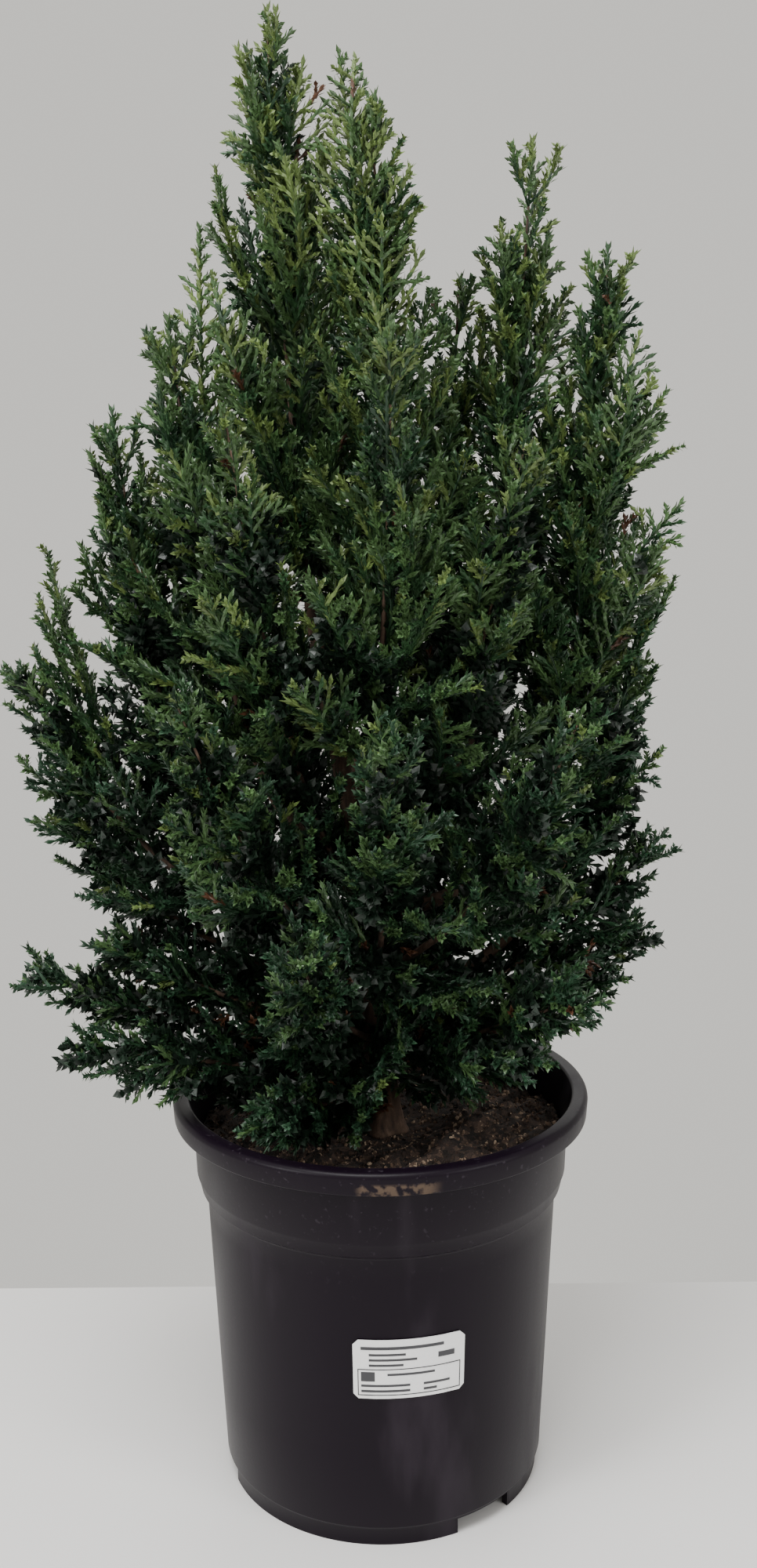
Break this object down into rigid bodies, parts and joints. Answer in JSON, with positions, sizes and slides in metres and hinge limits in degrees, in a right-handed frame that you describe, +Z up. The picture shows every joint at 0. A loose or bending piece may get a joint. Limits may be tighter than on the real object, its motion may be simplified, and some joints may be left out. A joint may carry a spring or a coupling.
{
  "type": "potted dwarf conifer",
  "caption": "Bushy upright dwarf cypress in a round black nursery pot, with feathery sprays in several pointed plumes and a plain sticker on the pot.",
  "frame": {"origin": "middle of the pot's underside, on the plane it stands on", "axes": "+Z up along the pot's axis; -Y is the front, the side the picture shows; +X is right as seen from the front"},
  "size_m": [0.3187, 0.2468, 0.716],
  "materials": {
    "pot_plastic": "satin black moulded plastic",
    "peat": "dark crumbly peat",
    "label_paper": "white sticker with plain grey rules and no lettering",
    "bark": "rough brown bark",
    "green_light": "young yellowish green scale leaves",
    "green_deep": "deep bluish green scale leaves"
  },
  "bodies": {
    "root": {"pot": "pot_plastic", "soil": "peat", "label": "label_paper", "trunk": "bark", "bough_middle": "bark", "bough_spire": "bark", "bough_right": "bark", "bough_far_right": "bark", "bough_shoulder_left": "bark", "bough_left": "bark", "bough_side_left": "bark", "bough_side_right": "bark", "bough_front": "bark", "bough_back": "bark", "foliage_tall_plume": "green_light", "foliage_middle_plume": "green_light", "foliage_spire": "green_light", "foliage_right_plume": "green_light", "foliage_far_right": "green_light", "foliage_shoulder_left": "green_light", "foliage_left_plume": "green_light", "foliage_side_left": "green_deep", "foliage_side_left_low": "green_deep", "foliage_low_left": "green_deep", "foliage_long_left": "green_deep", "foliage_drooping_left": "green_deep", "foliage_pot_front": "green_deep", "foliage_side_right": "green_deep", "foliage_side_right_low": "green_deep", "foliage_low_right": "green_deep", "foliage_front_low_right": "green_deep", "foliage_front_plume": "green_light", "foliage_front_left": "green_light", "foliage_front_right": "green_light", "foliage_front_low_left": "green_deep", "foliage_front_middle": "green_deep", "foliage_front_low_middle": "green_deep", "foliage_front_side_right": "green_deep", "foliage_back_tall": "green_light", "foliage_back_left": "green_deep", "foliage_back_right": "green_deep", "foliage_back_low_left": "green_deep", "foliage_back_low_middle": "green_deep", "foliage_back_low_right": "green_deep", "foliage_back_foot": "green_deep"}
  },
  "joints": []
}
